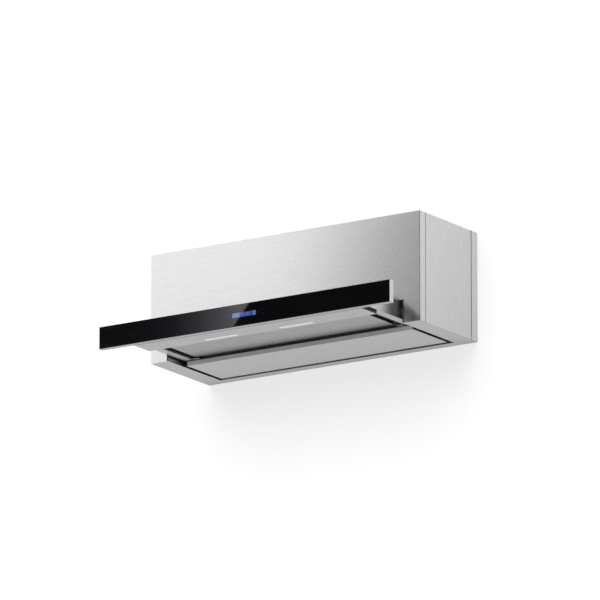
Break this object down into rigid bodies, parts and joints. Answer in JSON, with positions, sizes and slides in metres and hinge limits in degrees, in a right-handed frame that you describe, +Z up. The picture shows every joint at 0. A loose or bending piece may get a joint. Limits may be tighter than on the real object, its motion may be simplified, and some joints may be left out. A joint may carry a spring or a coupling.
{
  "type": "pull out range hood",
  "caption": "Slimline pull out range hood: steel body, sliding drawer with black glass touch bar, lights, hinged suction panels, grease filters, blower and flapped duct collar.",
  "frame": {"origin": "centre of the four wall fixing holes, on the plane of the wall", "axes": "+X to the right seen from the front, +Y into the wall, +Z up"},
  "size_m": [0.898, 0.4662, 0.33],
  "materials": {
    "brushed_steel": "satin, fine grain along the length",
    "zinc_steel": "galvanised sheet, matt spangle",
    "aluminium": "satin anodised",
    "filter_mesh": "expanded aluminium mesh",
    "black_glass": "polished, black behind",
    "display_blue": "lit blue display",
    "black_plastic": "moulded, matt",
    "grey_plastic": "moulded, matt",
    "white_plastic": "moulded, satin",
    "opal_lens": "opal, slightly frosted",
    "circuit_board": "green solder mask",
    "rubber": "matt",
    "zinc_screw": "bright zinc plating",
    "motor_steel": "dull plated steel"
  },
  "bodies": {
    "hood_body": {"front_panel": "brushed_steel", "side_panel_left": "brushed_steel", "side_panel_right": "brushed_steel", "top_panel": "zinc_steel", "back_panel": "brushed_steel", "bottom_frame": "brushed_steel", "filter_deck": "zinc_steel", "filter_left": "filter_mesh", "filter_right": "filter_mesh", "panel_catches": "black_plastic", "rail_left": "zinc_steel", "rail_right": "zinc_steel", "switch_body": "black_plastic", "scroll_wrap": "zinc_steel", "scroll_side_left": "zinc_steel", "scroll_side_right": "zinc_steel", "motor": "motor_steel", "motor_bracket": "zinc_steel", "blower_screws": "zinc_screw", "duct_collar": "black_plastic", "flap_pin": "zinc_screw", "junction_box": "black_plastic", "junction_lid": "black_plastic", "capacitor": "white_plastic", "light_driver": "white_plastic", "cable_gland": "black_plastic", "top_screws": "zinc_screw"},
    "drawer": {"tray": "brushed_steel", "tray_cover": "brushed_steel", "light_panel": "brushed_steel", "light_left": "opal_lens", "light_right": "opal_lens", "light_boards": "circuit_board", "front_profile": "aluminium", "end_cap_left": "aluminium", "end_cap_right": "aluminium", "glass_panel": "black_glass", "display": "display_blue", "control_board": "circuit_board", "drawer_catches": "black_plastic", "drawer_filter": "filter_mesh", "bar_screws": "zinc_screw", "bar_bumpers": "rubber", "roller_pins": "zinc_screw"},
    "drawer_suction_panel": {"drawer_panel": "brushed_steel", "drawer_panel_pins": "zinc_screw"},
    "body_suction_panel": {"body_panel": "brushed_steel", "body_panel_pins": "zinc_screw"},
    "roller_left_front": {"roller_left_front": "white_plastic"},
    "roller_left_rear": {"roller_left_rear": "white_plastic"},
    "roller_right_front": {"roller_right_front": "white_plastic"},
    "roller_right_rear": {"roller_right_rear": "white_plastic"},
    "wheel": {"impeller": "grey_plastic", "motor_shaft": "zinc_screw"},
    "flap_front": {"flap_front": "grey_plastic"},
    "flap_rear": {"flap_rear": "grey_plastic"},
    "filter_latch_left": {"filter_latch_left": "black_plastic"},
    "filter_latch_right": {"filter_latch_right": "black_plastic"},
    "switch_plunger": {"switch_plunger": "white_plastic"}
  },
  "joints": [
    {"name": "drawer_slide", "type": "slide", "parent": "hood_body", "child": "drawer", "axis": [0, 1, 0], "range_m": [0, 0.174]},
    {"name": "roller_left_front_spin", "type": "hinge", "parent": "drawer", "child": "roller_left_front", "pos_m": [-0.3584, -0.2419, -0.164], "axis": [1, 0, 0], "continuous": true},
    {"name": "roller_left_rear_spin", "type": "hinge", "parent": "drawer", "child": "roller_left_rear", "pos_m": [-0.3584, -0.192, -0.164], "axis": [1, 0, 0], "continuous": true},
    {"name": "roller_right_front_spin", "type": "hinge", "parent": "drawer", "child": "roller_right_front", "pos_m": [0.3584, -0.2419, -0.164], "axis": [1, 0, 0], "continuous": true},
    {"name": "roller_right_rear_spin", "type": "hinge", "parent": "drawer", "child": "roller_right_rear", "pos_m": [0.3584, -0.192, -0.164], "axis": [1, 0, 0], "continuous": true},
    {"name": "body_panel_hinge", "type": "hinge", "parent": "hood_body", "child": "body_suction_panel", "pos_m": [0, -0.048, -0.193], "axis": [1, 0, 0], "range_deg": [0, 80]},
    {"name": "drawer_panel_hinge", "type": "hinge", "parent": "drawer", "child": "drawer_suction_panel", "pos_m": [0, -0.2335, -0.182], "axis": [1, 0, 0], "range_deg": [0, 80]},
    {"name": "wheel_spin", "type": "hinge", "parent": "hood_body", "child": "wheel", "pos_m": [0, -0.15403, -0.00997], "axis": [1, 0, 0], "continuous": true},
    {"name": "flap_front_hinge", "type": "hinge", "parent": "hood_body", "child": "flap_front", "pos_m": [0, -0.0747, 0.1], "axis": [-1, 0, 0], "range_deg": [0, 70]},
    {"name": "flap_rear_hinge", "type": "hinge", "parent": "hood_body", "child": "flap_rear", "pos_m": [0, -0.0747, 0.1], "axis": [1, 0, 0], "range_deg": [0, 70]},
    {"name": "latch_left_slide", "type": "slide", "parent": "hood_body", "child": "filter_latch_left", "axis": [0, 1, 0], "range_m": [0, 0.006], "stiffness_N_per_m": 400},
    {"name": "latch_right_slide", "type": "slide", "parent": "hood_body", "child": "filter_latch_right", "axis": [0, 1, 0], "range_m": [0, 0.006], "stiffness_N_per_m": 400},
    {"name": "switch_plunger_slide", "type": "slide", "parent": "hood_body", "child": "switch_plunger", "axis": [0, 1, 0], "range_m": [0, 0.0008], "stiffness_N_per_m": 800}
  ],
  "couplings": [
    {"joint": "roller_left_front_spin", "follows": "drawer_slide", "rad_per_m": -151.52},
    {"joint": "roller_left_rear_spin", "follows": "drawer_slide", "rad_per_m": -151.52},
    {"joint": "roller_right_front_spin", "follows": "drawer_slide", "rad_per_m": -151.52},
    {"joint": "roller_right_rear_spin", "follows": "drawer_slide", "rad_per_m": -151.52}
  ]
}
